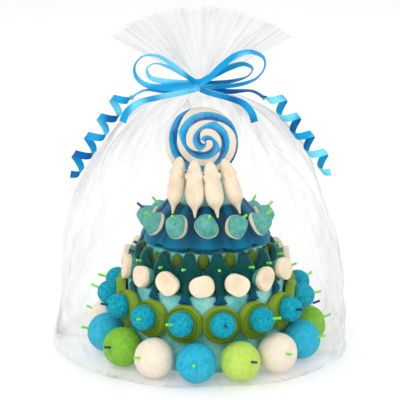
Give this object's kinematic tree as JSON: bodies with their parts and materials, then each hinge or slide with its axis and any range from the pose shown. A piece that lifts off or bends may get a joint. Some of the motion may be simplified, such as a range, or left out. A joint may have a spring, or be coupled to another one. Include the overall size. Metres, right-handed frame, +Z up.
{
  "type": "candy tower",
  "caption": "Tiered tower of pinned jelly and foam sweets topped by mice and a swirl lollipop, inside a clear bag gathered to a fan and tied with curled ribbon.",
  "frame": {"origin": "on the floor under the middle of the bag", "axes": "+Z up to the fan of the bag, -Y the front that the picture shows, +X to the right"},
  "size_m": [0.259, 0.2344, 0.303],
  "materials": {
    "clear_film": "clear gloss film",
    "blue_ribbon": "satin",
    "core_wrap": "matte",
    "white_ball": "sugared, matte",
    "blue_ball": "sugared, matte",
    "green_ball": "sugared, matte",
    "green_jelly": "soft gloss",
    "teal_jelly": "soft gloss",
    "blue_jelly": "soft gloss",
    "cream_foam": "matte",
    "hard_candy": "gloss"
  },
  "bodies": {
    "root": {"tower_core": "core_wrap", "tongue_collar": "blue_jelly", "lollipop": "hard_candy", "ball_01": "white_ball", "wheel_01": "green_jelly", "dolphin_01": "teal_jelly", "ball_02": "blue_ball", "wheel_02": "green_jelly", "dolphin_02": "teal_jelly", "ball_03": "green_ball", "wheel_03": "green_jelly", "dolphin_03": "teal_jelly", "ball_04": "white_ball", "wheel_04": "green_jelly", "dolphin_04": "teal_jelly", "ball_05": "blue_ball", "wheel_05": "green_jelly", "dolphin_05": "teal_jelly", "ball_06": "green_ball", "wheel_06": "green_jelly", "dolphin_06": "teal_jelly", "ball_07": "white_ball", "wheel_07": "green_jelly", "dolphin_07": "teal_jelly", "ball_08": "blue_ball", "wheel_08": "green_jelly", "dolphin_08": "teal_jelly", "ball_09": "green_ball", "wheel_09": "green_jelly", "dolphin_09": "teal_jelly", "ball_10": "white_ball", "wheel_10": "green_jelly", "dolphin_10": "teal_jelly", "ball_11": "blue_ball", "wheel_11": "green_jelly", "dolphin_11": "teal_jelly", "ball_12": "green_ball", "wheel_12": "green_jelly", "dolphin_12": "teal_jelly", "ball_13": "white_ball", "wheel_13": "green_jelly", "dolphin_13": "teal_jelly", "ball_14": "blue_ball", "wheel_14": "green_jelly", "dolphin_14": "teal_jelly", "ball_15": "green_ball", "wheel_15": "green_jelly", "dolphin_15": "teal_jelly", "mouse_01": "cream_foam", "mouse_02": "cream_foam", "mouse_03": "cream_foam", "mouse_04": "cream_foam", "mouse_05": "cream_foam", "mouse_06": "cream_foam", "mouse_07": "cream_foam", "bag": "clear_film", "ribbon": "blue_ribbon"}
  },
  "joints": []
}
